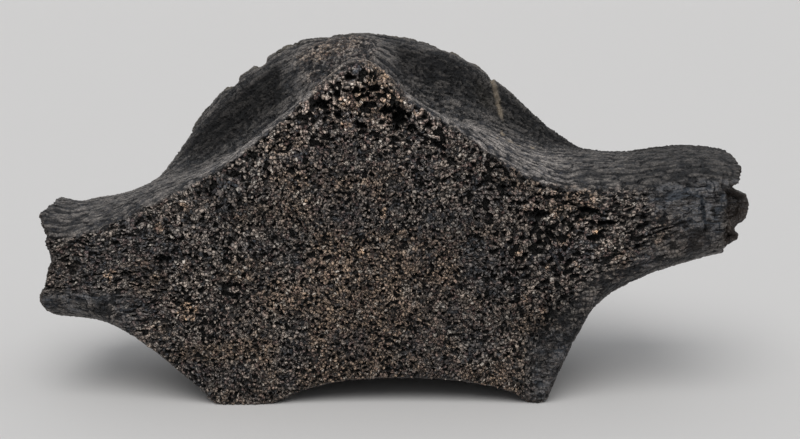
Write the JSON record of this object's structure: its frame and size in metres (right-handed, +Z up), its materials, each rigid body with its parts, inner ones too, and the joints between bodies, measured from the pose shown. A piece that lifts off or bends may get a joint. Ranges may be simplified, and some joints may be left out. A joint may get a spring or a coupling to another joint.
{
  "type": "whale vertebra",
  "caption": "Worn vertebra of a small baleen whale, keel up: spongy broken face, end plate, two broken transverse processes, resting on the roots of its neural arch.",
  "frame": {"origin": "bottom centre of the whole bone's box, on the surface that it rests on", "axes": "+Z up through the ventral keel; -Y out of the worn spongy face; +Y out of the end plate; +X towards the higher transverse process"},
  "size_m": [0.228, 0.0706, 0.1123],
  "materials": {
    "spongy_bone": "mineralised spongy bone: near-black cells between lighter grey and tan grains, faint sheen",
    "cortical_bone": "mineralised outer bone: blue-black, fine fibrous grain, soft sheen"
  },
  "bodies": {
    "root": {"centrum": "spongy_bone", "end_plate": "cortical_bone", "transverse_process_left": "cortical_bone", "transverse_process_right": "cortical_bone", "arch_root_left": "spongy_bone", "arch_root_right": "spongy_bone"}
  },
  "joints": []
}
